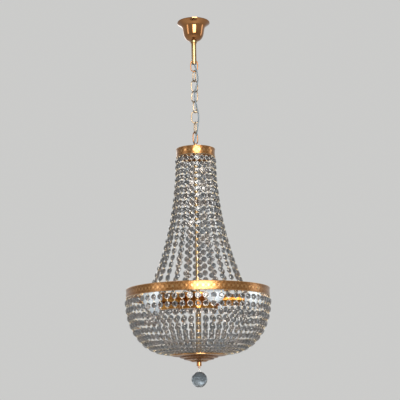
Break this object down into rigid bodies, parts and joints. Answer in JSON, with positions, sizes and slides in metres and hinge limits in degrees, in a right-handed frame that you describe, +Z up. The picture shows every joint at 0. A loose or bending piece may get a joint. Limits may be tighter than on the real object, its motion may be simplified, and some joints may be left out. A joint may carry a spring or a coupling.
{
  "type": "crystal chandelier",
  "caption": "Basket chandelier hung on a rod and chain: strings of octagonal crystals between gilt hoops, radial opal lamps inside and a faceted ball below.",
  "frame": {"origin": "centre of the ceiling bracket's two screw holes, on the ceiling plane", "axes": "+Z up out of the ceiling fixing, along the rod and chain; -Y is the front; the two screws lie along X"},
  "size_m": [0.3688, 0.3688, 0.9559],
  "materials": {
    "zinc_steel": "zinc plated",
    "polished_brass": "polished and lacquered",
    "chain_brass": "bright plated",
    "terminal_plastic": "moulded",
    "cable_pvc": "translucent grey flex",
    "stamped_gold": "stamped antique gold",
    "gold_rod": "gold plated",
    "lampholder_black": "moulded",
    "opal_glass": "frosted opal",
    "cap_metal": "nickel plated",
    "crystal": "cut and polished, lightly smoked",
    "crystal_clear": "cut and polished",
    "hook_wire": "bright wire"
  },
  "bodies": {
    "ceiling_mount": {"ceiling_bracket": "zinc_steel", "drop_tube": "gold_rod", "tube_nuts": "zinc_steel", "hanger_loop": "polished_brass", "terminal_block": "terminal_plastic", "supply_cable": "cable_pvc"},
    "canopy": {"canopy": "polished_brass", "canopy_collar": "gold_rod", "canopy_grub_screw": "zinc_steel"},
    "link_1": {"chain_link_1": "chain_brass"},
    "link_2": {"chain_link_2": "chain_brass"},
    "link_3": {"chain_link_3": "chain_brass"},
    "link_4": {"chain_link_4": "chain_brass"},
    "link_5": {"chain_link_5": "chain_brass"},
    "link_6": {"chain_link_6": "chain_brass"},
    "pendant_hook": {"pendant_hook": "hook_wire"},
    "crystal_ball": {"crystal_ball": "crystal_clear"},
    "bulb_1": {"bulb_1": "opal_glass", "bulb_cap_1": "cap_metal"},
    "bulb_2": {"bulb_2": "opal_glass", "bulb_cap_2": "cap_metal"},
    "bulb_3": {"bulb_3": "opal_glass", "bulb_cap_3": "cap_metal"},
    "bulb_4": {"bulb_4": "opal_glass", "bulb_cap_4": "cap_metal"},
    "bulb_5": {"bulb_5": "opal_glass", "bulb_cap_5": "cap_metal"},
    "chandelier": {"column_nut": "zinc_steel", "crown_loop": "polished_brass", "lamp_hub": "polished_brass", "hub_cover": "polished_brass", "finial_nut": "polished_brass", "lamp_cup_1": "polished_brass", "lamp_cup_2": "polished_brass", "lamp_cup_3": "polished_brass", "lamp_cup_4": "polished_brass", "lamp_cup_5": "polished_brass", "hub_terminal": "terminal_plastic", "crown_band": "stamped_gold", "main_band": "stamped_gold", "bottom_dish": "stamped_gold", "band_screws": "gold_rod", "centre_tube": "gold_rod", "lower_column": "gold_rod", "crown_spider": "gold_rod", "main_spider": "gold_rod", "inner_ring": "gold_rod", "lampholder_1": "lampholder_black", "lampholder_2": "lampholder_black", "lampholder_3": "lampholder_black", "lampholder_4": "lampholder_black", "lampholder_5": "lampholder_black", "upper_strands_front": "crystal", "upper_strands_right": "crystal", "upper_strands_back": "crystal", "upper_strands_left": "crystal", "basket_strands_front": "crystal", "basket_strands_right": "crystal", "basket_strands_back": "crystal", "basket_strands_left": "crystal"}
  },
  "joints": [
    {"name": "canopy_slide", "type": "slide", "parent": "ceiling_mount", "child": "canopy", "axis": [0, 0, -1], "range_m": [0, 0.042]},
    {"name": "link_1_swing", "type": "hinge", "parent": "ceiling_mount", "child": "link_1", "pos_m": [0, 0, -0.1356], "axis": [1, 0, 0], "range_deg": [-15, 15], "deforming": ["supply_cable"]},
    {"name": "link_2_swing", "type": "hinge", "parent": "link_1", "child": "link_2", "pos_m": [0, 0, -0.1637], "axis": [0.4067, -0.9135, 0], "range_deg": [-15, 15], "deforming": ["supply_cable"]},
    {"name": "link_3_swing", "type": "hinge", "parent": "link_2", "child": "link_3", "pos_m": [0, 0, -0.1918], "axis": [0.8988, 0.4384, 0], "range_deg": [-15, 15], "deforming": ["supply_cable"]},
    {"name": "link_4_swing", "type": "hinge", "parent": "link_3", "child": "link_4", "pos_m": [0, 0, -0.2199], "axis": [-0.848, 0.5299, 0], "range_deg": [-15, 15], "deforming": ["supply_cable"]},
    {"name": "link_5_swing", "type": "hinge", "parent": "link_4", "child": "link_5", "pos_m": [0, 0, -0.248], "axis": [-0.4067, -0.9135, 0], "range_deg": [-15, 15], "deforming": ["supply_cable"]},
    {"name": "link_6_swing", "type": "hinge", "parent": "link_5", "child": "link_6", "pos_m": [0, 0, -0.2761], "axis": [-0.9945, -0.1045, 0], "range_deg": [-15, 15], "deforming": ["supply_cable"]},
    {"name": "chandelier_swing", "type": "hinge", "parent": "link_6", "child": "chandelier", "pos_m": [0, 0, -0.3042], "axis": [-0.2588, 0.9659, 0], "range_deg": [-15, 15], "deforming": ["supply_cable"]},
    {"name": "hook_swing", "type": "hinge", "parent": "chandelier", "child": "pendant_hook", "pos_m": [0, 0, -0.908], "axis": [1, 0, 0], "range_deg": [-25, 25]},
    {"name": "ball_swing", "type": "hinge", "parent": "pendant_hook", "child": "crystal_ball", "pos_m": [0, 0, -0.916], "axis": [0, 1, 0], "range_deg": [-25, 25]},
    {"name": "bulb_1_unscrew", "type": "slide", "parent": "chandelier", "child": "bulb_1", "axis": [0.2957, -0.9553, 0], "range_m": [0, 0.008]},
    {"name": "bulb_2_unscrew", "type": "slide", "parent": "chandelier", "child": "bulb_2", "axis": [0.9999, -0.014, 0], "range_m": [0, 0.008]},
    {"name": "bulb_3_unscrew", "type": "slide", "parent": "chandelier", "child": "bulb_3", "axis": [0.3223, 0.9466, 0], "range_m": [0, 0.008]},
    {"name": "bulb_4_unscrew", "type": "slide", "parent": "chandelier", "child": "bulb_4", "axis": [-0.8007, 0.599, 0], "range_m": [0, 0.008]},
    {"name": "bulb_5_unscrew", "type": "slide", "parent": "chandelier", "child": "bulb_5", "axis": [-0.8171, -0.5764, 0], "range_m": [0, 0.008]}
  ]
}
